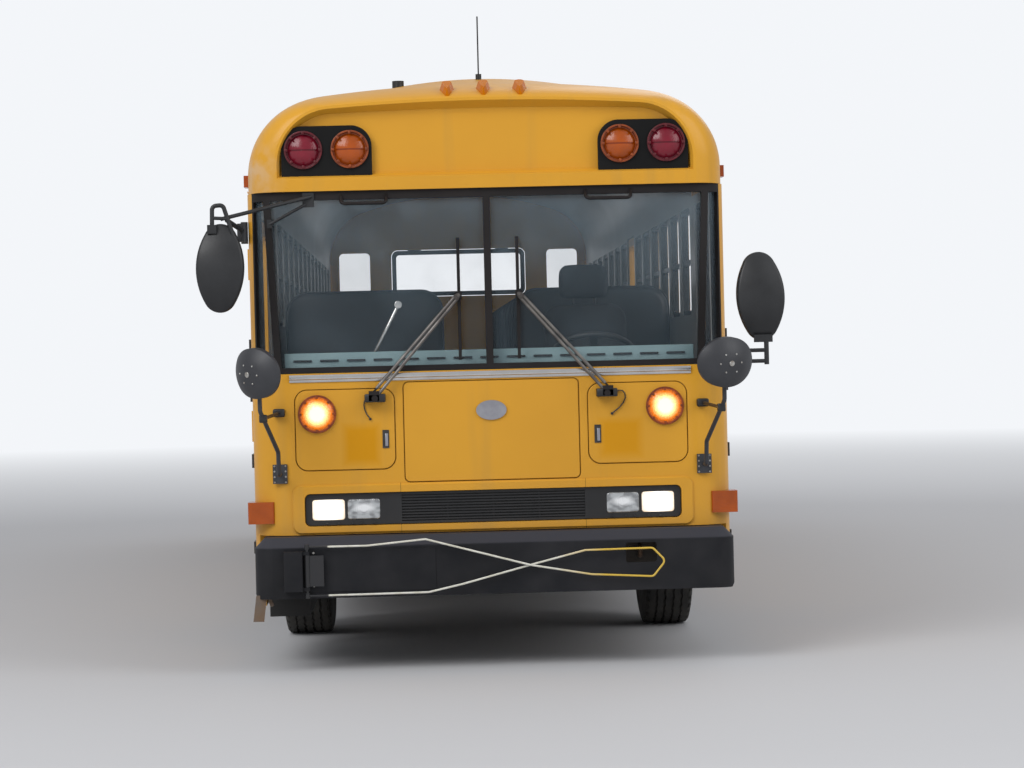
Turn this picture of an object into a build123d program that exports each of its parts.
from build123d import *
import math
import os

# A rear-engined, flat-fronted school bus, full size, in millimetres.
# X runs across the bus, +X to the driver's side (the left of someone facing forward).
# Y runs from nose to tail, Z is up.
# The origin is on the ground, midway between the foremost mirror and the rear bumper, on the centre line.
# A station is a distance behind the front bumper's face.

# Driving dimensions
overall_length = 11950
mirror_reach = 330
half_width = 1219
front_axle_station = 2250
wheelbase = 6580
tyre_radius = 520
tyre_width = 280
front_face = -(overall_length - mirror_reach) / 2


def at(station):
    return front_face + station


# Body shell
wall = 50
skirt_z = 480
belt_z = 1511
wall_top_z = 2430
spring_z = 2480
roof_top_z = 3100
roof_corner_r = 500
face_station = 150
tail_station = 11800
front_corner_r = 200
rear_corner_r = 120
corner_centre_x = half_width - front_corner_r
corner_centre_station = face_station + front_corner_r
cap_end_station = 1500
tail_cap_station = 11500

# Side windows, one bay after another at an even pitch
bay_count = 14
bay_pitch = 705
first_bay_station = 1900
bay_opening = 600
window_z = (1780, 2380)
window_corner_r = 55
emergency_bay = 6
glass_depth = 20
glass_thickness = 6
sash_bar = 24

# Wheels and axles
rear_axle_station = front_axle_station + wheelbase
front_wheel_x = 1026
kingpin_x = 900
dual_x = (725, 1055)
arch_r = 600
rim_r = 288
hub_r = 135
spindle_r = 45
jack_pad_z = (418, 440)

# Floor
floor_z = (1020, 1060)
engine_deck_station = 10600
engine_deck_z = 1580
wheelhouse_x = 520
wheelhouse_top_z = 1200
wheelhouse_half = 620
sheet = 20

# Entrance
door_stations = (530, 1390)
door_z = (300, 2330)
step_z = (270, 540, 800)
step_x = (-1165, -975, -785, -595)

# Emergency door and engine door
door_hinge_x = -half_width - 10
barrel_r = 8
tail_hinge_station = tail_station + 6
exit_half = 340
exit_z = (1090, 2400)
engine_door_half = 870
engine_door_z = (800, 1560)

# Nose
panel_gap = 5
strip_x = 957
strip_z = (733, 899)
grille_half = 474
slat_count = 9
slat_pitch = 14.5
access_x = (492, 993)
access_z = (1018, 1423)
centre_panel_half = 443
centre_panel_z = (949, 1452)
lamp_x = (658, 837)
lamp_z = 815
lamp_size = (165, 103)
turn_lamp = (883, 1302)
round_lamp_r = 89
bumper_z = (381, 686)
bumper_bevel = 50
bumper_plate = 12
bumper_corner_r = 90

# Roof cap over the windshield: station, half width, spring height, top, corner radius
cap_rows = [
    (130, 1070, 2560, 2888, 300),
    (190, 1165, 2545, 2922, 340),
    (330, 1212, 2520, 2962, 400),
    (800, 1219, 2490, 3022, 470),
    (1250, 1219, 2480, 3085, 498),
    (1500, 1219, 2480, 3100, 500),
]
sign_station = 185
warning_x = (685, 921)
warning_z = 2640
housing_x = (574, 1032)
housing_z = (2482, 2761)
rear_warning_x = (560, 796)
rear_warning_z = 2745

# Roof hatches
hatch_stations = (3600, 8700)
hatch_half = 300
hatch_rim_z = 3135
hatch_lid = 45
hatch_hinge = 352

# Swinging arms
arm_hinge_x = -945
arm_station = -32
rod_r = 5
sign_width = 457
stop_hinge = (1262, 1190)
stop_z = 1235
stop_plate = 16

os.makedirs("parts", exist_ok=True)


def block(x, y, z):
    """A box from three (low, high) pairs."""
    size = (x[1] - x[0], y[1] - y[0], z[1] - z[0])
    return Pos((x[0] + x[1]) / 2, (y[0] + y[1]) / 2, (z[0] + z[1]) / 2) * Box(*size)


def slab_y(x, z, y, r):
    """A rounded rectangle across the bus, as thick as the y pair."""
    plane = Plane(origin=((x[0] + x[1]) / 2, y[0], (z[0] + z[1]) / 2), x_dir=(1, 0, 0), z_dir=(0, -1, 0))
    return extrude(plane * RectangleRounded(x[1] - x[0], z[1] - z[0], r), amount=y[1] - y[0], dir=(0, 1, 0))


def slab_x(y, z, x, r):
    """A rounded rectangle along the bus, as thick as the x pair."""
    plane = Plane(origin=(x[0], (y[0] + y[1]) / 2, (z[0] + z[1]) / 2), x_dir=(0, 1, 0), z_dir=(1, 0, 0))
    return extrude(plane * RectangleRounded(y[1] - y[0], z[1] - z[0], r), amount=x[1] - x[0], dir=(1, 0, 0))


def rod_x(x, y, z, r):
    """A round bar across the bus."""
    return Pos((x[0] + x[1]) / 2, y, z) * Rot(0, 90, 0) * Cylinder(r, x[1] - x[0])


def rod_y(x, y, z, r):
    """A round bar along the bus."""
    return Pos(x, (y[0] + y[1]) / 2, z) * Rot(90, 0, 0) * Cylinder(r, y[1] - y[0])


def mirrored(shape):
    """The same shape on the other side of the centre line."""
    return mirror(shape, about=Plane.YZ)


def both_sides(shape):
    """A shape and its mirror image."""
    return shape + mirrored(shape)


def prism(points, z):
    """An upright prism over a plan given as (x, station) points."""
    line = Polyline([(x, at(s), z[0]) for x, s in points], close=True)
    return extrude(make_face(line), amount=z[1] - z[0], dir=(0, 0, 1))


def tube(points, r, bend):
    """A round tube along straight runs joined by bends."""
    path = FilletPolyline(*points, radius=bend)
    start = Plane(origin=path @ 0, z_dir=path % 0)
    return sweep(start * Circle(r), path=path)


def arch_face(y, half, spring, top, corner, bottom):
    """The roof's cross-section at y: walls to the spring line, a corner arc each side, a crown arc."""
    a = half - corner
    h = top - spring
    crown = (a * a + h * h - corner * corner) / (2 * (h - corner))
    share = crown / (crown - corner)
    tangent = (a * share, top - crown + (spring - top + crown) * share)
    angle = math.atan2(tangent[1] - spring, tangent[0] - a) / 2
    middle = (a + corner * math.cos(angle), spring + corner * math.sin(angle))
    right = ThreePointArc((half, y, spring), (middle[0], y, middle[1]), (tangent[0], y, tangent[1]))
    over = ThreePointArc((tangent[0], y, tangent[1]), (0, y, top), (-tangent[0], y, tangent[1]))
    left = ThreePointArc((-tangent[0], y, tangent[1]), (-middle[0], y, middle[1]), (-half, y, spring))
    walls = Line((-half, y, bottom), (half, y, bottom)) + Line((half, y, bottom), (half, y, spring))
    return make_face(walls + right + over + left + Line((-half, y, spring), (-half, y, bottom)))


def arch_bar(stations, half, spring, top, corner, bottom):
    """The roof's cross-section drawn out along the bus."""
    face = arch_face(at(stations[0]), half, spring, top, corner, bottom)
    return extrude(face, amount=stations[1] - stations[0], dir=(0, 1, 0))


def plan_bar(inset, z):
    """The body's plan, drawn in by inset, between two heights."""
    length = tail_station - face_station - 2 * inset
    face = Pos(0, at((tail_station + face_station) / 2), z[0]) * Rectangle(2 * (half_width - inset), length)
    face = fillet(face.vertices().group_by(Axis.Y)[0], radius=front_corner_r - inset)
    face = fillet(face.vertices().group_by(Axis.Y)[-1], radius=rear_corner_r - inset)
    return extrude(face, amount=z[1] - z[0], dir=(0, 0, 1))


def shell(z, outer=0, inner=wall):
    """The body's wall all round, between two heights."""
    return plan_bar(outer, z) - plan_bar(inner, (z[0] - 1, z[1] + 1))


def corner_ray(degrees, reach):
    """A point on a ray from the front corner's centre, turned from straight ahead."""
    turn = math.radians(degrees)
    return (corner_centre_x + reach * math.sin(turn), corner_centre_station - reach * math.cos(turn))


# Where the nose and the tail meet the side walls
pillar_angle = 60
nose_tip = corner_ray(pillar_angle, 600)
nose_region = [
    (-nose_tip[0], nose_tip[1]),
    nose_tip,
    (corner_centre_x, corner_centre_station),
    (corner_centre_x, corner_centre_station + 60),
    (-corner_centre_x, corner_centre_station + 60),
    (-corner_centre_x, corner_centre_station),
]
tail_x = half_width - rear_corner_r
tail_region = [
    (-tail_x, tail_station - rear_corner_r),
    (-tail_x - 400, tail_station - rear_corner_r + 400),
    (tail_x + 400, tail_station - rear_corner_r + 400),
    (tail_x, tail_station - rear_corner_r),
    (tail_x, tail_station - rear_corner_r - 60),
    (-tail_x, tail_station - rear_corner_r - 60),
]

pieces = {}


def keep(name, shape):
    """Stores a finished piece and writes its file."""
    pieces[name] = shape
    export_step(shape, f"parts/{name}.step")


# Side walls
bays = [first_bay_station + i * bay_pitch for i in range(bay_count)]
exit_station = bays[emergency_bay]
driver_window = (570, 1330)
driver_window_z = (1600, 2380)


def window_openings(side):
    """(stations, heights) of each window on a side: +1 is the driver's side."""
    found = []
    for i, bay in enumerate(bays):
        if side < 0 or i != emergency_bay:
            found.append(((bay - bay_opening / 2, bay + bay_opening / 2), window_z))
    if side > 0:
        found.append((driver_window, driver_window_z))
    return found


def side_wall(side):
    """One wall of the body, from the front pillar to the tail."""
    z = (skirt_z, wall_top_z)
    body = shell(z) - prism(nose_region, (0, 3000)) - prism(tail_region, (0, 3000))
    body &= block((0, 2000) if side > 0 else (-2000, 0), (-7000, 7000), (0, 3000))
    across = (side * half_width - 100, side * half_width + 100)
    for stations, heights in window_openings(side):
        body -= slab_x((at(stations[0]), at(stations[1])), heights, across, window_corner_r)
    for axle in (front_axle_station, rear_axle_station):
        body -= rod_x(across, at(axle), tyre_radius, arch_r)
        body -= block(across, (at(axle) - arch_r, at(axle) + arch_r), (0, tyre_radius))
    if side > 0:
        stations = (exit_station - exit_half, exit_station + exit_half)
        body -= block(across, (at(stations[0]), at(stations[1])), exit_z)
    else:
        body -= block(across, (at(door_stations[0]), at(door_stations[1])), (0, door_z[1]))
    return body


keep("side_wall_left", side_wall(1))
keep("side_wall_right", side_wall(-1))

# Roof skin with a raised rim round each hatch
roof_stations = (cap_end_station, tail_cap_station)
roof = arch_bar(roof_stations, half_width, spring_z, roof_top_z, roof_corner_r, wall_top_z)
roof_inside = (half_width - wall, spring_z, roof_top_z - wall, roof_corner_r - wall, wall_top_z - 1)
rim_wall = 30
for station in hatch_stations:
    reach = hatch_half + rim_wall
    roof += block((-reach, reach), (at(station - reach), at(station + reach)), (2900, hatch_rim_z))
roof -= arch_bar((cap_end_station - 1, tail_cap_station + 1), *roof_inside)
for station in hatch_stations:
    hatch_ys = (at(station - hatch_half), at(station + hatch_half))
    roof -= block((-hatch_half, hatch_half), hatch_ys, (2900, 3200))
    hinge_y = at(station - hatch_hinge)
    for low, high in ((-248, -212), (212, 248)):
        roof += block((low, high), (hinge_y - 6, hinge_y + 6), (3060, hatch_rim_z))
        roof += rod_x((low, high), hinge_y, hatch_rim_z, barrel_r)
keep("roof", roof)


def hatch(station):
    """A hatch lid with a turned-down rim, resting on the roof's raised rim."""
    reach = hatch_half + rim_wall + 14
    low = hatch_rim_z + 5
    lid = block((-reach, reach), (at(station - reach), at(station + reach)), (low, low + hatch_lid))
    lid = chamfer(lid.edges().group_by(Axis.Z)[-1], length=22)
    hinge_y = at(station - hatch_hinge)
    for xs in ((-208, -120), (120, 208)):
        lid += block(xs, (hinge_y, hinge_y + 20), (hatch_rim_z, hatch_rim_z + 15))
        lid += rod_x(xs, hinge_y, hatch_rim_z, barrel_r)
    return lid


keep("roof_hatch_front", hatch(hatch_stations[0]))
keep("roof_hatch_rear", hatch(hatch_stations[1]))


def cap_row(station):
    """The cap's half width, spring, top and corner at a station, between the rows of its table."""
    for low, high in zip(cap_rows, cap_rows[1:]):
        if low[0] <= station <= high[0]:
            share = (station - low[0]) / (high[0] - low[0])
            return [a + (b - a) * share for a, b in zip(low[1:], high[1:])]


def cap_bar(stations, inset, bottom):
    """The cap's body through the given stations, drawn in by inset."""
    faces = []
    for station in stations:
        half, spring, top, corner = cap_row(station)
        faces.append(arch_face(at(station), half - inset, spring, top - inset, corner - inset, bottom))
    return loft(faces)


def lamp_housing(xs, zs, stations, lamps, lamp_height):
    """A black lamp box: square below, well rounded above, with a round well for each lamp."""
    box = block(xs, (at(stations[0]), at(stations[1])), zs)
    upper = [e for e in box.edges().filter_by(Axis.Y) if e.center().Z > (zs[0] + zs[1]) / 2]
    lower = [e for e in box.edges().filter_by(Axis.Y) if e.center().Z < (zs[0] + zs[1]) / 2]
    box = fillet(upper, radius=105)
    box = fillet([e for e in box.edges().filter_by(Axis.Y) if e.center().Z < zs[0] + 2], radius=18)
    return box


def lens(x, station, z, r, depth, facing):
    """A round lamp lens with a stepped, domed face. facing is -1 to the front and +1 to the rear."""
    rim = 12
    inner = r - 9
    rise = depth - rim
    ball = (inner * inner + rise * rise) / (2 * rise)
    dome = Pos(0, 0, depth - ball) * Sphere(ball) & Pos(0, 0, depth / 2) * Cylinder(inner, depth)
    solid = Pos(0, 0, rim / 2) * Cylinder(r, rim) + dome
    return Pos(x, at(station), z) * Rot(-90 * facing, 0, 0) * solid


# Front roof cap
housing_stations = (152, sign_station)
cap = cap_bar([row[0] for row in cap_rows], 0, wall_top_z)
cap -= cap_bar((225, 330, 800, 1250, 1500), 45, wall_top_z - 20)
pocket_outer = arch_face(at(129.5), 1056, 2560, 2874, 286, 2498)
pocket_inner = arch_face(at(sign_station), 1034, 2560, 2838, 264, 2520)
cap -= loft([pocket_outer, pocket_inner])
front_housing = lamp_housing(housing_x, housing_z, housing_stations, warning_x, warning_z)
front_housings = both_sides(front_housing)
cap -= front_housings
cap_solid = cap_bar([row[0] for row in cap_rows], 0, wall_top_z)
keep("front_cap", cap)

# Tail cap, rounded in plan like the walls below it
rear_window_half = 613
rear_window_z = (2130, 2560)
rear_pane_x = (808, 1089)


def rear_openings():
    """The wide push-out window and the narrow pane each side of it."""
    across = (at(tail_station - wall - 100), at(tail_station + 100))
    cut = slab_y((-rear_window_half, rear_window_half), rear_window_z, across, 60)
    return cut + both_sides(slab_y(rear_pane_x, (2130, 2540), across, 40))


rear_cap_stations = (tail_cap_station, tail_station)
rear_cap = arch_bar(rear_cap_stations, half_width, spring_z, roof_top_z, roof_corner_r, wall_top_z)
rear_cap = fillet(rear_cap.faces().sort_by(Axis.Y)[-1].edges().sort_by(Axis.Z)[1:], radius=45)
rear_cap &= plan_bar(0, (2400, 3200))
rear_cap -= arch_bar((tail_cap_station - 1, tail_station - wall), *roof_inside)
keep("rear_cap", rear_cap - rear_openings())

rear_wall = shell((690, wall_top_z)) & prism(tail_region, (0, 3000))
door_gap = 6
rear_wall -= rear_openings()
rear_wall -= slab_y(
    (-engine_door_half - door_gap, engine_door_half + door_gap),
    (engine_door_z[0] - door_gap, engine_door_z[1] + door_gap),
    (at(tail_station - 200), at(tail_station + 100)), 40,
)
keep("rear_wall", rear_wall)

# Nose panel with a raised surround round the lamp strip and pockets for the access panels
front_panel = shell((690, 1508)) & prism(nose_region, (0, 3000))
surround = slab_y((-1019, 1019), (694, 942), (at(face_station - 12), at(face_station + 5)), 45)
front_panel += chamfer(surround.edges().group_by(Axis.Y)[0], length=8)
front_panel -= slab_y((-strip_x, strip_x), strip_z, (at(0), at(face_station + 40)), 30)
pocket_back = face_station + 30
access_plates = [
    ((-centre_panel_half, centre_panel_half), centre_panel_z, 25),
    (access_x, access_z, 60),
    ((-access_x[1], -access_x[0]), access_z, 60),
]
panels = None
for xs, zs, r in access_plates:
    grown_x = (xs[0] - panel_gap, xs[1] + panel_gap)
    grown_z = (zs[0] - panel_gap, zs[1] + panel_gap)
    front_panel -= slab_y(grown_x, grown_z, (at(0), at(pocket_back)), r + panel_gap)
    plate = slab_y(xs, zs, (at(face_station - 4), at(pocket_back)), r)
    plate = fillet(plate.edges().group_by(Axis.Y)[0], radius=3)
    panels = plate if panels is None else panels + plate
keep("front_panel", front_panel)
keep("front_access_panels", panels)

# Grille plate: slats between the lamps, a bezel round each lamp
strip_in = (-strip_x + 4, strip_x - 4)
grille = slab_y(strip_in, (strip_z[0] + 4, strip_z[1] - 4), (at(160), at(190)), 26)
grille -= block((-grille_half + 8, grille_half - 8), (at(150), at(180)), (strip_z[0] + 16, strip_z[1] - 16))
for row in range(slat_count):
    z = (strip_z[0] + strip_z[1]) / 2 + (row - (slat_count - 1) / 2) * slat_pitch
    grille += block((-grille_half + 4, grille_half - 4), (at(161), at(182)), (z - 3.5, z + 3.5))
for x in (-233, 0, 233):
    grille += block((x - 5, x + 5), (at(170), at(182)), (strip_z[0] + 14, strip_z[1] - 14))
lamp_places = [(side * x) for x in lamp_x for side in (1, -1)]
headlamps = None
for x in lamp_places:
    xs = (x - lamp_size[0] / 2, x + lamp_size[0] / 2)
    zs = (lamp_z - lamp_size[1] / 2, lamp_z + lamp_size[1] / 2)
    grille -= slab_y(xs, zs, (at(150), at(191)), 14)
    lamp = slab_y(xs, zs, (at(154), at(190)), 14)
    lamp = fillet(lamp.edges().group_by(Axis.Y)[0], radius=8)
    headlamps = lamp if headlamps is None else headlamps + lamp
keep("grille", grille)
keep("clear_lenses", headlamps)

# Windshield frame with its centre post, two corner posts and the grab bars under the header
glass_z = (1539, 2386)


def front_view(points):
    """A prism along the bus over a front-view outline given as (x, z) points."""
    face = make_face(Polyline(*[(x, at(90), z) for x, z in points], close=True))
    return extrude(face, amount=200, dir=(0, 1, 0))


low, high = glass_z
main_glass = front_view([(18, low), (1057, low), (1097, high), (18, high)])
corner_glass = front_view([(1093, low), (1184, low), (1184, high), (1133, high)])
pane_tip = corner_ray(pillar_angle - 3, 600)
corner_centre = (corner_centre_x, corner_centre_station)
pane_region = [(-pane_tip[0], pane_tip[1]), pane_tip, corner_centre, (-corner_centre[0], corner_centre[1])]
glass_regions = (both_sides(main_glass) + both_sides(corner_glass)) & prism(pane_region, (0, 3000))
windshield_frame = shell((belt_z, wall_top_z)) & prism(nose_region, (0, 3000))
windshield_frame -= glass_regions
for xs in ((-734, -507), (504, 733)):
    ends = [(at(160), 2408), (at(100), 2362)]
    corners = [(xs[0], *ends[0]), (xs[0], *ends[1]), (xs[1], *ends[1]), (xs[1], *ends[0])]
    windshield_frame += tube(corners, 9, 25)
keep("windshield_frame", windshield_frame)
windshield_glass = shell(glass_z, glass_depth, glass_depth + glass_thickness) & glass_regions
keep("windshield_glass", windshield_glass)

# Side window sashes and panes
sash_x = (half_width - 38, half_width - 4)
pane_x = (half_width - glass_depth - glass_thickness, half_width - glass_depth)
sashes = []
panes = []
for side in (1, -1):
    for stations, heights in window_openings(side):
        ys = (at(stations[0]), at(stations[1]))
        outer = slab_x(ys, heights, sash_x, window_corner_r)
        middle = (heights[0] + heights[1]) / 2
        low_z = (heights[0] + sash_bar, middle - sash_bar / 2)
        high_z = (middle + sash_bar / 2, heights[1] - sash_bar)
        inner_y = (ys[0] + sash_bar, ys[1] - sash_bar)
        lights = [(inner_y, low_z), (inner_y, high_z)]
        if heights == driver_window_z:
            across = (ys[0] + ys[1]) / 2
            whole_z = (heights[0] + sash_bar, heights[1] - sash_bar)
            lights = [((ys[0] + sash_bar, across - 12), whole_z), ((across + 12, ys[1] - sash_bar), whole_z)]
        for light_y, light_z in lights:
            outer -= slab_x(light_y, light_z, (sash_x[0] - 5, sash_x[1] + 5), 18)
            pane = slab_x(light_y, light_z, pane_x, 18)
            panes.append(pane if side > 0 else mirrored(pane))
        sashes.append(outer if side > 0 else mirrored(outer))
for side in (1, -1):
    across = (at(tail_station - 32), at(tail_station - 26))
    pane = slab_y(rear_pane_x, (2130, 2540), across, 40)
    panes.append(pane if side > 0 else mirrored(pane))
keep("window_sashes", Compound(children=sashes))
keep("window_glass", Compound(children=panes))

# Rub rails along the sides
rails = None
rail_stations = (corner_centre_station + 10, tail_station - rear_corner_r - 10)
for side in (1, -1):
    for z, height in ((620, 60), (1065, 70), (1400, 60), (1660, 60)):
        xs = (half_width, half_width + 12) if side > 0 else (-half_width - 12, -half_width)
        rail = block(xs, (at(rail_stations[0]), at(rail_stations[1])), (z - height / 2, z + height / 2))
        for axle in (front_axle_station, rear_axle_station):
            rail -= rod_x((xs[0] - 5, xs[1] + 5), at(axle), tyre_radius, arch_r + 10)
        if side > 0:
            stations = (exit_station - exit_half - 12, exit_station + exit_half + 12)
            gap_z = (exit_z[0] - 12, exit_z[1])
            rail -= block((xs[0] - 5, xs[1] + 5), (at(stations[0]), at(stations[1])), gap_z)
        else:
            stations = (door_stations[0] - 6, door_stations[1] + 6)
            rail -= block((xs[0] - 5, xs[1] + 5), (at(stations[0]), at(stations[1])), (0, 2400))
        rails = rail if rails is None else rails + rail
keep("rub_rails", rails)

# Bumpers
bumper_half = 1210


def bumper(depth):
    """A bumper open to the back, its face on the plane y = 0 and its ends turned back."""
    outer = block((-bumper_half, bumper_half), (0, depth), bumper_z)
    outer = fillet(outer.edges().filter_by(Axis.Z).group_by(Axis.Y)[0], radius=bumper_corner_r)
    outer = chamfer(outer.edges().group_by(Axis.Z)[-1].group_by(Axis.Y)[0], length=bumper_bevel)
    for side in (1, -1):
        corner = Rot(0, side * 32, 0) * Box(60, 2 * depth, 150)
        corner = Pos(side * bumper_half, depth / 2, bumper_z[0]) * corner
        outer -= Pos(side * 12, 0, -14) * corner
    t = bumper_plate
    inner = block((-bumper_half + t, bumper_half - t), (t, depth + 1), (bumper_z[0] - 1, bumper_z[1] - t))
    inner = fillet(inner.edges().filter_by(Axis.Z).group_by(Axis.Y)[0], radius=bumper_corner_r - t)
    inner = chamfer(inner.edges().group_by(Axis.Z)[-1].group_by(Axis.Y)[0], length=bumper_bevel - 5)
    return outer - inner


tow_opening = ((657, 812), (520, 620))
front_bumper = Pos(0, at(0), 0) * bumper(235)
front_bumper -= slab_y(*tow_opening, (at(-10), at(30)), 12)
keep("front_bumper", front_bumper)
keep("rear_bumper", Pos(0, at(overall_length), 0) * Rot(0, 0, 180) * bumper(140))

# Lamp housings, front and rear
rear_housing_x = (448, 908)
rear_housing_z = (2600, 2860)
rear_stations = (tail_station, tail_station + 33)
rear_housing = lamp_housing(rear_housing_x, (2590, 2850), rear_stations, rear_warning_x, rear_warning_z)
well_depth = 20
well_r = round_lamp_r + 7
housings = None
for shape, lamps, z, face, facing in (
    (front_housing, warning_x, warning_z, housing_stations[0], -1),
    (rear_housing, rear_warning_x, 2720, rear_stations[1], 1),
):
    for x in lamps:
        shape -= rod_y(x, (at(face) - well_depth, at(face) + well_depth), z, well_r)
    shape = both_sides(shape)
    housings = shape if housings is None else housings + shape
keep("lamp_housings", housings)

# Round lamps and small markers
amber = [lens(side * turn_lamp[0], face_station - 4, turn_lamp[1], round_lamp_r, 42, -1) for side in (1, -1)]
red = []
for side in (1, -1):
    front_well = housing_stations[0] + well_depth
    rear_well = rear_stations[1] - well_depth
    amber.append(lens(side * warning_x[0], front_well, warning_z, round_lamp_r, 38, -1))
    red.append(lens(side * warning_x[1], front_well, warning_z, round_lamp_r, 38, -1))
    amber.append(lens(side * rear_warning_x[0], rear_well, 2720, round_lamp_r, 38, 1))
    red.append(lens(side * rear_warning_x[1], rear_well, 2720, round_lamp_r, 38, 1))
    red.append(lens(side * 1010, tail_station, 1560, round_lamp_r, 38, 1))
    amber.append(lens(side * 1010, tail_station, 1330, round_lamp_r, 38, 1))
    red.append(lens(side * 1010, tail_station, 1140, 60, 30, 1))


marker_x = (-185, 0, 185)
marker_rise = 38


def crown_marker(x, station, z, slope):
    """A teardrop clearance lamp lying on a slope, its point to the front."""
    tail = 36
    outline = Polyline((-tail, 30), (-24, -40), (-9, -84), (9, -84), (24, -40), (tail, 30))
    outline += ThreePointArc((tail, 30), (0, 66), (-tail, 30))
    face = make_face(outline)
    body = extrude(face, amount=marker_rise, taper=18) + extrude(face, amount=-40)
    return Pos(x, at(station), z) * Rot(slope, 0, 0) * body


roof_solid = arch_bar((cap_end_station, tail_station), half_width, spring_z, roof_top_z, roof_corner_r, 2000)
amber += [crown_marker(x, 222, 2932 - abs(x) * 0.01, 22) - cap_solid for x in marker_x]
red += [crown_marker(x, 11690, 3094 - abs(x) * 0.035, 0) - roof_solid for x in marker_x]
for side in (1, -1):
    box = block((1112, 1246) if side > 0 else (-1246, -1112), (at(162), at(310)), (751, 861))
    box = fillet(box.edges().filter_by(Axis.Z), radius=12) - plan_bar(0, (400, 1000))
    amber.append(box)
    cap_lamp = block((1190, 1241) if side > 0 else (-1241, -1190), (at(420), at(520)), (2475, 2535))
    cap_lamp -= cap_solid
    amber.append(cap_lamp)
keep("amber_lenses", Compound(children=amber))
keep("red_lenses", Compound(children=red))

# Wipers: a twin-rod arm and a blade on each side
wipers = None
for side in (1, -1):
    pivot = (side * 588, at(face_station - 60), 1375)
    tip = (side * 150, at(face_station - 6), 1880)
    shaft = rod_y(pivot[0], (at(face_station - 75), at(face_station - 4)), pivot[2], 16)
    arms = []
    for shift in (0, 26):
        start = (pivot[0] + side * shift * 0.5, pivot[1], pivot[2] + shift)
        end = (tip[0] + side * shift * 0.3, tip[1] - 8, tip[2] + shift * 0.6)
        arms.append(Line(start, end))
    wiper = shaft
    for line in arms:
        wiper += sweep(Plane(origin=line @ 0, z_dir=line % 0) * Circle(5), path=line)
    bridge = block((pivot[0] - 22, pivot[0] + 30) if side > 0 else (pivot[0] - 30, pivot[0] + 22),
                   (pivot[1] - 12, pivot[1] + 8), (pivot[2] - 12, pivot[2] + 38))
    blade_end = block((tip[0] - 14, tip[0] + 20) if side > 0 else (tip[0] - 20, tip[0] + 14),
                      (tip[1] - 18, tip[1] + 6), (tip[2] - 14, tip[2] + 26))
    blade = block((tip[0] - 8, tip[0] + 8), (at(face_station), at(face_station + 18)), (1560, 2180))
    post = block((tip[0] - 6, tip[0] + 6), (tip[1] - 6, at(face_station + 4)), (tip[2] - 8, tip[2] + 12))
    wiper = wiper + bridge + blade_end + blade + post
    wipers = wiper if wipers is None else wipers + wiper
keep("wipers", wipers)


def round_bar(start, end, r):
    """A straight round bar between two points."""
    line = Line(start, end)
    return sweep(Plane(origin=start, z_dir=line % 0) * Circle(r), path=line)


# Mirrors on their arms
mirror_depth = 92


def mirror_head(x, z, lean):
    """An oval housing, its back domed to the front."""
    right = [(78, 168), (119, 0), (72, -178)]
    outline = ThreePointArc((-78, 168), (0, 222), (78, 168)) + ThreePointArc(*right)
    outline += ThreePointArc((72, -178), (0, -222), (-72, -178))
    outline += ThreePointArc((-72, -178), (-119, 0), (-78, 168))
    plane = Plane(origin=(0, mirror_depth / 2, 0), x_dir=(1, 0, 0), z_dir=(0, -1, 0))
    head = extrude(plane * make_face(outline), amount=mirror_depth)
    head &= Pos(0, 420 - mirror_depth / 2, 0) * Sphere(420)
    head = fillet(head.faces().sort_by(Axis.Y)[0].edges(), radius=16)
    return Pos(x, at(-60), z) * Rot(0, lean, 0) * head


left_head = mirror_head(1360, 1844, -2)
left_head += block((1322, 1414), (at(-72), at(-48)), (1612, 1650))
left_head += round_bar((1383, at(-60), 1630), (1383, at(-60), 1500), 12)
for z in (1572, 1518):
    left_head += tube([(1383, at(-60), z), (1256, at(-60), z), (1243, at(300), z)], 10, 45)
left_head += block((half_width + 1, half_width + 34), (at(285), at(330)), (1480, 1612))
right_head = mirror_head(-1340, 2046, 2)
right_head += block((-1398, -1352), (at(-78), at(-42)), (2218, 2262))
right_head += tube(
    [(-1375, at(-60), 2225), (-1372, at(-60), 2356), (-1318, at(-60), 2360), (-1262, at(-60), 2180)], 11, 22
)
right_head += round_bar((-1372, at(-60), 2296), (-1300, at(-60), 2292), 9)
right_head += tube([(-1330, at(-60), 2290), (-1140, at(20), 2338), (-887, at(142), 2404)], 10, 60)
right_head += round_bar((-1100, at(142), 2268), (-912, at(142), 2366), 8)
right_head += block((-930, -872), (at(140), at(150)), (2350, 2424))
right_head += block((-1112, -1088), (at(138), at(152)), (2250, 2292))
right_head += round_bar((-1300, at(-60), 2284), (-1238, at(60), 2240), 12)
right_head += Pos(-1236, at(120), 2228) * Cylinder(26, 92)
right_head += round_bar((-1236, at(60), 2240), (-1236, at(300), 2240), 12)
right_head += block((-half_width - 34, -half_width - 1), (at(285), at(330)), (2180, 2290))
mirror_solids = left_head + right_head
keep("rearview_mirrors", mirror_solids)

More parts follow.
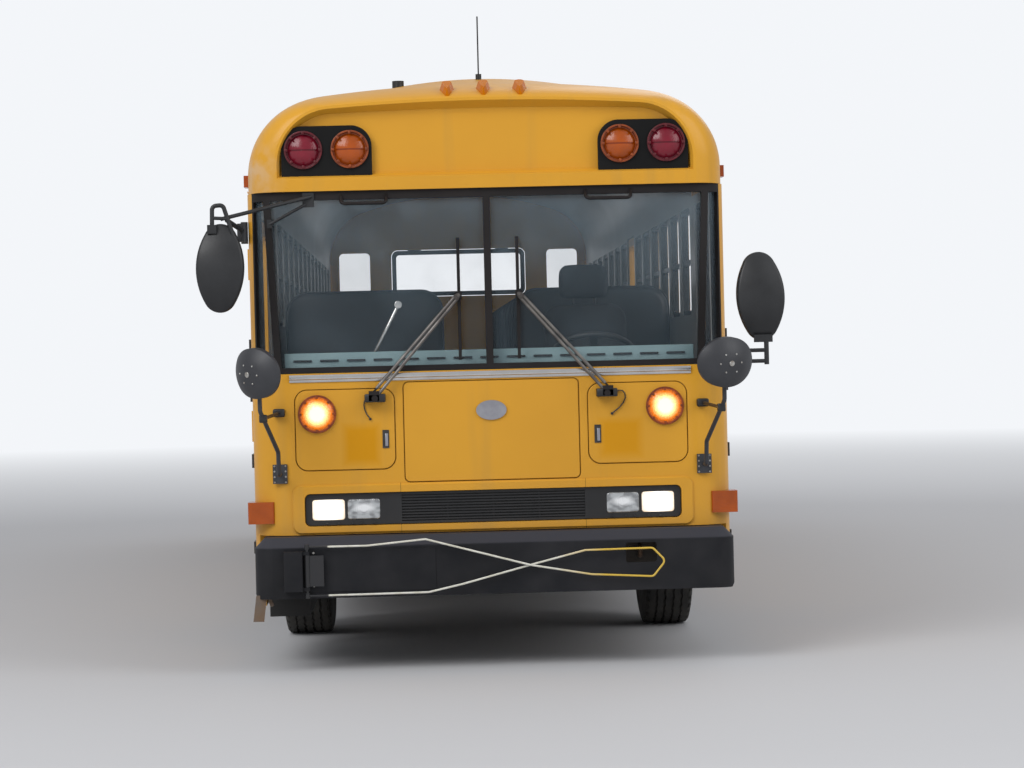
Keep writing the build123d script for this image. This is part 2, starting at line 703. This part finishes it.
facing_front = Plane(origin=(0, 0, 0), x_dir=(1, 0, 0), z_dir=(0, -1, 0))
facing_back = Plane(origin=(0, 0, 0), x_dir=(1, 0, 0), z_dir=(0, 1, 0))
cross_solids = None
for side in (1, -1):
    centre = (side * 1150, at(-250), 1520)
    bowl = extrude(facing_front * Ellipse(153, 125), amount=80)
    bowl &= Pos(0, 194 - 80, 0) * Sphere(194)
    glass = extrude(facing_back * Ellipse(146, 118), amount=60)
    glass &= Pos(0, -(270 - 42), 0) * Sphere(270)
    head = Pos(*centre) * Rot(8, 0, side * 22 if side > 0 else side * 42) * (bowl + glass)
    foot_x = (side * 1077 - 37, side * 1077 + 37)
    foot = block(foot_x, (at(face_station - 10), at(face_station)), (954, 1052))
    arm = tube(
        [
            (side * 1077, at(face_station - 4), 1003),
            (side * 1077, at(40), 1003),
            (side * 1077, at(0), 1120),
            (side * 1150, at(-215), 1330),
            (side * 1150, at(-225), 1500),
        ],
        11, 30,
    )
    foot -= plan_bar(0, (900, 1100))
    piece = head + arm + foot
    cross_solids = piece if cross_solids is None else cross_solids + piece
keep("crossview_mirrors", cross_solids)

# Fixed brackets that carry the crossing arm and the stop arm
arm_box = block((-1061, -966), (at(-64), at(0)), (420, 620))
arm_box = fillet(arm_box.edges().filter_by(Axis.Z).group_by(Axis.Y)[0], radius=10)
ears = []
for z in (430, 610):
    ear_ys = (at(arm_station - 12), at(arm_station + 12))
    ears.append(block((-970, arm_hinge_x + 12), ear_ys, (z - 8, z + 8)))
brackets = arm_box + ears[0] + ears[1]
stop_box_ys = (at(stop_hinge[1] - 150), at(stop_hinge[1] - 22))
stop_box = block((half_width, half_width + 48), stop_box_ys, (1145, 1325))
stop_box = fillet(stop_box.edges().group_by(Axis.X)[-1], radius=8)
for z in (stop_z - 60, stop_z + 60):
    x = stop_hinge[0]
    stop_box += block((x - 30, x + 12), (at(stop_hinge[1] - 30), at(stop_hinge[1] + 12)), (z - 8, z + 8))
pin_hole = 0.05
brackets -= Pos(arm_hinge_x, at(arm_station), 521) * Cylinder(7 + pin_hole, 262)
stop_box -= Pos(stop_hinge[0], at(stop_hinge[1]), stop_z) * Cylinder(5 + pin_hole, 142)
keep("arm_brackets", brackets + stop_box)

# Crossing arm: one rod bent round into a long loop
loop = [
    (-945, 641, 0), (-643, 641, 0), (-350, 666, 0), (175, 523, 7), (480, 468, 0), (790, 450, 0),
    (853, 527, 0),
    (790, 593, 0), (450, 590, 0), (175, 523, -7), (-170, 436, 0), (-340, 400, 0), (-650, 398, 0),
    (-945, 397, 0),
]
gate = tube([(x, at(arm_station) - shift, z) for x, z, shift in loop], rod_r, 24)
gate += Pos(arm_hinge_x, at(arm_station), 521) * (Cylinder(14, 160) + Cylinder(7, 260))
gate += block((arm_hinge_x, -862), (at(arm_station - 5), at(arm_station + 5)), (444, 598))
for z in (397, 641):
    gate += Pos(arm_hinge_x, at(arm_station), z) * Cylinder(11, 26)
keep("crossing_arm", gate)

# Stop arm: a blank eight-sided plate
x, station = stop_hinge
side_length = sign_width / (1 + math.sqrt(2))
sign_centre = station + 62 + sign_width / 2
plane = Plane(origin=(x - stop_plate / 2, at(sign_centre), stop_z), x_dir=(0, 1, 0), z_dir=(1, 0, 0))
radius = sign_width / 2 / math.cos(math.pi / 8)
octagon = plane * Rot(0, 0, 22.5) * RegularPolygon(radius, 8)
sign = extrude(octagon, amount=stop_plate, dir=(1, 0, 0))
sign += block((x - 5, x + 5), (at(station), at(station + 70)), (stop_z - 45, stop_z + 45))
sign += Pos(x, at(station), stop_z) * Cylinder(10, 104)
sign += Pos(x, at(station), stop_z) * Cylinder(5, 140)
for z in (stop_z - 150, stop_z + 150):
    sign += rod_x((x + stop_plate / 2, x + stop_plate / 2 + 18), at(sign_centre), z, 50)
    sign += rod_x((x - stop_plate / 2 - 12, x - stop_plate / 2), at(sign_centre), z, 50)
keep("stop_arm", sign)

# Entrance door: two leaves, each with two panes
leaf_thickness = 35
leaf_mid = (door_stations[0] + door_stations[1]) / 2
leaf_x = (-half_width, -half_width + leaf_thickness)
for name, stations, hinge in (
    ("front", (door_stations[0] + 5, leaf_mid - 4), door_stations[0]),
    ("rear", (leaf_mid + 4, door_stations[1] - 5), door_stations[1]),
):
    leaf = block(leaf_x, (at(stations[0]), at(stations[1])), (door_z[0] + 5, door_z[1] - 5))
    ys = (at(stations[0] + 52), at(stations[1] - 52))
    lights = [(ys, (420, 1120)), (ys, (1200, 2250))]
    panes = []
    for light_y, light_z in lights:
        leaf -= slab_x(light_y, light_z, (leaf_x[0] - 5, leaf_x[1] + 5), 45)
        panes.append(slab_x(light_y, light_z, (leaf_x[0] + 14, leaf_x[0] + 20), 45))
    inward = 12 if hinge < leaf_mid else -12
    ys = sorted((at(hinge), at(hinge + inward)))
    for z in (490, 1240, 2080):
        leaf += Pos(door_hinge_x, at(hinge), z) * Cylinder(barrel_r, 160)
        leaf += block((door_hinge_x, leaf_x[0] + 5), ys, (z - 80, z + 80))
    keep(f"door_{name}_leaf", leaf)
    keep(f"door_{name}_glass", Compound(children=panes))

# Emergency door in the driver's side
exit_ys = (at(exit_station - exit_half + door_gap), at(exit_station + exit_half - door_gap))
exit_zs = (exit_z[0] + door_gap, exit_z[1] - door_gap)
exit_leaf = block((half_width - 40, half_width), exit_ys, exit_zs)
exit_lights = [(1200, 1600), (1680, 2340)]
panes = []
for light_z in exit_lights:
    light_y = (exit_ys[0] + 60, exit_ys[1] - 60)
    exit_leaf -= slab_x(light_y, light_z, (half_width - 60, half_width + 10), 45)
    panes.append(slab_x(light_y, light_z, pane_x, 45))
for z in (1250, 1750, 2250):
    exit_leaf += Pos(half_width + barrel_r, exit_ys[0] + 2, z) * Cylinder(barrel_r, 90)
    web_x = (half_width - 5, half_width + barrel_r)
    exit_leaf += block(web_x, (exit_ys[0] + 2, exit_ys[0] + 14), (z - 45, z + 45))
keep("emergency_door", exit_leaf)
keep("emergency_door_glass", Compound(children=panes))

# Push-out window over the engine door, and the engine door itself
sash = slab_y(
    (-rear_window_half + 6, rear_window_half - 6), (rear_window_z[0] + 6, rear_window_z[1] - 6),
    (at(tail_station - 40), at(tail_station)), 54,
)
inner = ((-rear_window_half + 45, rear_window_half - 45), (rear_window_z[0] + 45, rear_window_z[1] - 45))
sash -= slab_y(*inner, (at(tail_station - 60), at(tail_station + 20)), 30)
for x in (-400, 400):
    sash += rod_x((x - 60, x + 60), at(tail_hinge_station), rear_window_z[1] - 6, barrel_r - 1)
keep("rear_window_sash", sash)
keep("rear_window_glass", slab_y(*inner, (at(tail_station - 32), at(tail_station - 26)), 30))
engine_door = slab_y(
    (-engine_door_half, engine_door_half), engine_door_z, (at(tail_station - 40), at(tail_station)), 34
)
for row in range(9):
    z = 900 + row * 45
    slot = block((-700, 700), (at(tail_station - 60), at(tail_station + 10)), (z, z + 18))
    slot -= block((-12, 12), (at(tail_station - 70), at(tail_station + 20)), (z - 1, z + 19))
    engine_door -= slot
for x in (-600, 600):
    engine_door += rod_x((x - 60, x + 60), at(tail_hinge_station), engine_door_z[1] - 2, barrel_r)
keep("engine_door", engine_door)

# Floor slab, cut for the wheelhouses, the stepwell and the engine bay
inside_x = half_width - wall - 3
cabin_end = tail_station - wall - 4
floor = block((-inside_x, inside_x), (at(face_station + wall + 4), at(cabin_end)), floor_z)
floor &= plan_bar(wall + 3, (0, 3000))
bay_station = engine_deck_station + sheet + 1
floor -= block((-inside_x - 5, inside_x + 5), (at(bay_station), at(cabin_end + 10)), (1000, 1100))
well_ys = (at(door_stations[0] - 4), at(door_stations[1] + 4))
floor -= block((-2000, step_x[-1] + sheet + 1), (well_ys[0] - sheet - 1, well_ys[1] + sheet + 1), (0, 1100))

# Wheelhouses, engine deck and stepwell, each a folded sheet in its own cut-out
wells = []
outer_x = inside_x - 1
for axle in (front_axle_station, rear_axle_station):
    ys = (at(axle - wheelhouse_half), at(axle + wheelhouse_half))
    for side in (1, -1):
        xs = (wheelhouse_x, outer_x) if side > 0 else (-outer_x, -wheelhouse_x)
        cut_x = (wheelhouse_x - 1, inside_x + 5) if side > 0 else (-inside_x - 5, -wheelhouse_x + 1)
        floor -= block(cut_x, (ys[0] - 1, ys[1] + 1), (1000, 1100))
        inner_x = (wheelhouse_x + sheet, outer_x + 50)
        if side < 0:
            inner_x = (-inner_x[1], -inner_x[0])
        house = block(xs, ys, (floor_z[0], wheelhouse_top_z))
        wells.append(house - block(inner_x, (ys[0] + sheet, ys[1] - sheet), (900, wheelhouse_top_z - sheet)))
keep("floor", floor)
deck_ys = (at(engine_deck_station), at(cabin_end - 1))
deck = block((-outer_x, outer_x), deck_ys, (floor_z[1], engine_deck_z + sheet))
inner_ys = (deck_ys[0] + sheet, at(cabin_end + 10))
deck -= block((-outer_x + sheet, outer_x - sheet), inner_ys, (1000, engine_deck_z))
wells.append(deck & plan_bar(wall + 4, (0, 3000)))
across = (well_ys[0] - sheet, well_ys[1] + sheet)
stepwell = None
for i, z in enumerate(step_z):
    low = -outer_x if i == 0 else step_x[i]
    high = step_x[i + 1] + sheet
    top = step_z[i + 1] if i + 1 < len(step_z) else floor_z[1]
    tread = block((low, high), across, (z - sheet, z))
    tread += block((step_x[i + 1], high), across, (z - sheet, top))
    for ys in ((across[0], well_ys[0]), (well_ys[1], across[1])):
        tread += block((-outer_x, high), ys, (z - sheet, top))
    stepwell = tread if stepwell is None else stepwell + tread
wells.append(stepwell)
keep("floor_wells", Compound(children=wells))

# Chassis: two channels, cross-members, bumper brackets and the sills the floor stands on
rail_x = (356, 432)
rail_z = (600, 854)
rail_ends = (245, tail_station - wall - 5)
tow_plate_x = 860
tow_plate_station = 150
frame = None
for side in (1, -1):
    xs = rail_x if side > 0 else (-rail_x[1], -rail_x[0])
    rail = block(xs, (at(rail_ends[0]), at(rail_ends[1])), rail_z)
    hollow_x = (rail_x[0] - 5, rail_x[1] - 8) if side > 0 else (-rail_x[1] + 8, -rail_x[0] + 5)
    rail -= block(hollow_x, (at(rail_ends[0] - 5), at(rail_ends[1] + 5)), (rail_z[0] + 8, rail_z[1] - 8))
    rail += block(xs, (at(bumper_plate), at(420)), (580, 625))
    rail += block(xs, (at(11500), at(overall_length - bumper_plate)), (580, 625))
    frame = rail if frame is None else frame + rail
for station in (480, 1500, 3100, 4300, 5500, 6700, 7900, 9700):
    frame += block((-rail_x[1] + 4, rail_x[1] - 4), (at(station - 30), at(station + 30)), (620, 834))
for station in range(480, engine_deck_station, 700):
    near_axle = min(abs(station - front_axle_station), abs(station - rear_axle_station)) < 700
    reach = 500 if near_axle else 1150
    low = -500 if station < 1500 else -reach
    frame += block((low, reach), (at(station - 25), at(station + 25)), (rail_z[1], floor_z[0]))
for side in (1, -1):
    xs = (rail_x[0], tow_plate_x) if side > 0 else (-tow_plate_x, -rail_x[0])
    frame += block(xs, (at(tow_plate_station), at(tow_plate_station + 8)), (500, 640))
keep("frame_rails", frame)


def springs(axle, drop):
    """A leaf spring under each rail, with its two hangers."""
    found = None
    for side in (1, -1):
        xs = (362, 432) if side > 0 else (-432, -362)
        y = at(axle)
        pack = block(xs, (y - 750, y + 750), (drop, drop + 22))
        pack += block(xs, (y - 480, y + 480), (drop - 14, drop))
        pack += block(xs, (y - 250, y + 250), (drop - 28, drop - 14))
        for end in (-1, 1):
            hanger_x = (xs[0], xs[1])
            pack += block(hanger_x, (y + end * 750 - 45, y + end * 750 + 45), (drop - 20, rail_z[0]))
        found = pack if found is None else found + pack
    return found


front_axle = springs(front_axle_station, 545)
y = at(front_axle_station)
beam = block((-700, 700), (y - 45, y + 45), (430, 517))
beam -= both_sides(block((-710, 710), (y + 12, y + 60), (448, 499)))
beam -= block((-710, 710), (y - 60, y - 12), (448, 499))
for side in (1, -1):
    beam += block((690, 860) if side > 0 else (-860, -690), (y - 42, y + 42), (440, 560))
    beam += Pos(side * 872, y, 500) * Cylinder(36, 130)
    beam += block((362, 432) if side > 0 else (-432, -362), (y - 60, y + 60), (500, 532))
    beam += block((500, 620) if side > 0 else (-620, -500), (y - 60, y + 60), (jack_pad_z[0], 436))
front_axle += beam
for side in (1, -1):
    front_axle -= Pos(side * 872, y, 500) * Cylinder(14 + pin_hole, 200)
keep("front_axle", front_axle)

rear_axle = springs(rear_axle_station, 545)
y = at(rear_axle_station)
rear_axle += rod_x((-560, 560), y, tyre_radius, 65) + rod_x((-566, 566), y, tyre_radius, 48)
bowl = Pos(0, y, tyre_radius) * Sphere(205)
rear_axle += bowl & block((-170, 170), (y - 300, y + 300), (200, 800))
rear_axle += rod_y(0, (y + 150, y + 300), tyre_radius, 60)
rear_axle += rod_y(0, (y + 290, at(engine_deck_station + 50)), tyre_radius, 42)
for side in (1, -1):
    rear_axle += block((362, 432) if side > 0 else (-432, -362), (y - 60, y + 60), (500, 532))
    rear_axle += block((445, 535) if side > 0 else (-535, -445), (y - 60, y + 60), (jack_pad_z[1], 480))
    rear_axle += rod_x((540, 576) if side > 0 else (-576, -540), y, tyre_radius, 120)
keep("rear_axle", rear_axle)


def knuckle(side):
    """A steering knuckle: two ears round the kingpin, a spindle and a steering arm."""
    y = at(front_axle_station)
    body = None
    for z in (405, 595):
        ear = Pos(side * 872, y, z) * Cylinder(38, 46)
        ear += block((872, 950) if side > 0 else (-950, -872), (y - 34, y + 34), (z - 23, z + 23))
        body = ear if body is None else body + ear
    body += Pos(side * 872, y, 500) * Cylinder(14, 200)
    body += block((925, 960) if side > 0 else (-960, -925), (y - 60, y + 60), (382, 618))
    body += rod_x((950, 1130) if side > 0 else (-1130, -950), y, tyre_radius, spindle_r)
    return body


keep("knuckle_left", knuckle(1))
keep("knuckle_right", knuckle(-1))

# Tyres and wheels
tyre_section = [
    (tyre_radius, 0), (tyre_radius, 108), (tyre_radius - 14, 128), (430, 140),
    (350, 132), (300, 112), (286, 108),
    (286, 84), (312, 88), (352, 104), (430, 116), (488, 104), (496, 80), (496, 0),
]


def tyre(x):
    """A hollow tyre about the X axis, its middle at x."""
    outline = [(offset, r) for r, offset in tyre_section]
    outline += [(-offset, r) for r, offset in reversed(tyre_section) if offset > 0]
    face = make_face(Polyline(*outline, close=True))
    return Pos(x, 0, 0) * revolve(face, axis=Axis.X, revolution_arc=360)


def turned(points):
    """A solid turned about the X axis from (x, radius) points."""
    return revolve(make_face(Polyline(*points, close=True)), axis=Axis.X, revolution_arc=360)


disc = [
    (-98, 266), (-98, 285), (98, 285), (98, 266), (84, 266), (84, 272), (30, 272), (104, 190), (130, 168),
    (130, 92), (118, 92), (118, 160), (94, 180), (16, 268), (16, 272), (-84, 272), (-84, 266),
]
rim_lip = 13


def rim(x, side, offset_sign):
    """A wheel with its mounting face set outward (offset_sign 1) or inward (-1)."""
    points = [(x + side * offset_sign * along, r) for along, r in disc]
    body = turned(points)
    for i in range(10):
        turn = Rot(i * 36, 0, 0)
        hole = Pos(x + side * offset_sign * 70, 0, 226) * Rot(0, 90, 0) * Cylinder(21, 140)
        body -= turn * hole
    return body


def place(shape, axle):
    """Carries a wheel from the origin to its axle."""
    return Pos(0, at(axle), tyre_radius) * shape


for name, side in (("left", 1), ("right", -1)):
    wheel = rim(side * front_wheel_x, side, 1)
    end = side * front_wheel_x
    hub = turned([(end + side * a, r) for a, r in (
        (-30, spindle_r + 4), (-30, 150), (10, 150), (40, 120), (118, 120), (118, 92), (146, 88), (176, 70),
        (180, 0), (112, 0), (112, spindle_r + 4),
    )])
    for i in range(10):
        stud = Pos(end + side * 143, 0, 142) * Rot(0, 90, 0) * Cylinder(16, 26)
        hub += Rot(i * 36 + 18, 0, 0) * stud
    hub += turned([(end + side * a, r) for a, r in ((110, 100), (118, 100), (118, 160), (110, 160))])
    keep(f"rim_front_{name}", place(wheel + hub, front_axle_station))
    keep(f"tyre_front_{name}", place(tyre(end), front_axle_station))
    inner = rim(side * dual_x[0], side, 1)
    outer = rim(side * dual_x[1], side, -1)
    face = side * (dual_x[0] + 130)
    far = side * (dual_x[1] - 130)
    middle = (face + far) / 2
    hub = turned([(side * a, r) for a, r in (
        (590, 52), (590, 200), (650, 200), (690, 125), (850, 125), (850, 165), (932, 165), (932, 120),
        (1090, 112), (1110, 95), (1110, 0), (596, 0), (596, 52),
    )])
    for i in range(10):
        stud = Pos(side * 945, 0, 142) * Rot(0, 90, 0) * Cylinder(16, 30)
        hub += Rot(i * 36 + 18, 0, 0) * stud
    keep(f"rim_rear_{name}", place(inner + outer + hub, rear_axle_station))
    tyres = [place(tyre(side * x), rear_axle_station) for x in dual_x]
    keep(f"tyre_rear_{name}", Compound(children=tyres))

# Engine, fuel tank and exhaust
engine = block((-340, 340), (at(engine_deck_station + 70), at(11560)), (560, 1480))
keep("engine_block", chamfer(engine.edges().group_by(Axis.Z)[-1], length=40))
tank = block((480, 1000), (at(4600), at(6000)), (430, 850))
tank = fillet(tank.edges().filter_by(Axis.Y), radius=60)
keep("fuel_tank", tank)
pipe = tube(
    [(-510, at(10500), 560), (-510, at(11300), 560), (-560, at(11500), 430), (-560, at(11900), 430)], 58, 120
)
keep("exhaust_pipe", pipe)

# Seats on both sides of the aisle
seat_height = 430
seat_back_top = 1990
seat_pitch = 711
back_corner_r = 150
seats = []


def bench(x, station, floor_top):
    """A bench: cushion, high back and one leg frame by the aisle. x is (low, high)."""
    ys = (at(station - 190), at(station + 220))
    top = floor_top + seat_height
    cushion = block(x, ys, (top - 130, top))
    back = block(x, (at(station + 200), at(station + 290)), (top - 130, floor_top + 930))
    back = fillet(back.edges().filter_by(Axis.Y).group_by(Axis.Z)[-1], radius=back_corner_r)
    back = chamfer(back.faces().filter_by(Axis.Y).edges(), length=14)
    shape = fillet(cushion.edges().filter_by(Axis.X), radius=25) + back
    leg_x = (x[0] + 60, x[0] + 92) if x[0] > 0 else (x[1] - 92, x[1] - 60)
    shape += block(leg_x, (at(station - 130), at(station - 98)), (floor_top, top - 125))
    shape += block(leg_x, (at(station + 170), at(station + 202)), (floor_top, top - 125))
    shape += block(leg_x, (at(station - 150), at(station + 222)), (floor_top, floor_top + 10))
    return shape


seat_x = (195, 1155)
left_rows = [2450 + i * seat_pitch for i in range(12)]
right_rows = [2150 + i * seat_pitch for i in range(12)]
for station in left_rows:
    if abs(station + 50 - exit_station) > 420:
        seats.append(bench(seat_x, station, floor_z[1]))
for station in right_rows:
    seats.append(bench((-seat_x[1], -seat_x[0]), station, floor_z[1]))
keep("passenger_seats", Compound(children=seats))

# Driver's place
driver_x = 560
driver_seat = Pos(driver_x, at(1230), 1150) * Cylinder(110, 180)
cushion = block((driver_x - 260, driver_x + 260), (at(970), at(1480)), (1240, 1390))
back = block((driver_x - 250, driver_x + 250), (at(1440), at(1570)), (1300, 2080))
for form in (cushion, back):
    driver_seat += fillet(form.edges().filter_by(Axis.X), radius=30)
keep("driver_seat", driver_seat)

dash = prism([(120, 260), (1080, 260), (1080, 600), (880, 560), (240, 560), (120, 500)], (1064, 1500))
dash -= block((driver_x - 250, driver_x + 250), (at(300), at(700)), (1000, 1400))
dash = chamfer(dash.edges().group_by(Axis.Z)[-1], length=20)
keep("dashboard", dash)
wheel_centre = (driver_x, at(800), 1560)
tilt = -32
ring = Torus(220, 15)
spokes = Box(410, 40, 14) + Pos(0, -105, 0) * Box(40, 200, 14)
boss = Cylinder(60, 50) + Pos(0, 0, -150) * Cylinder(24, 300)
keep("steering_wheel", Pos(*wheel_centre) * Rot(tilt, 0, 0) * (ring + spokes + boss))

# Aerial on the roof, just behind the crown's lamps
aerial = Pos(0, at(1260), 3000) * Cylinder(16, 230)
aerial += Pos(0, at(1260), 3260) * Cylinder(4, 340)
aerial -= cap_solid
puck = Pos(-440, at(1300), 3055) * Cylinder(32, 70)
keep("roof_aerial", Compound(children=[aerial, puck - cap_solid]))
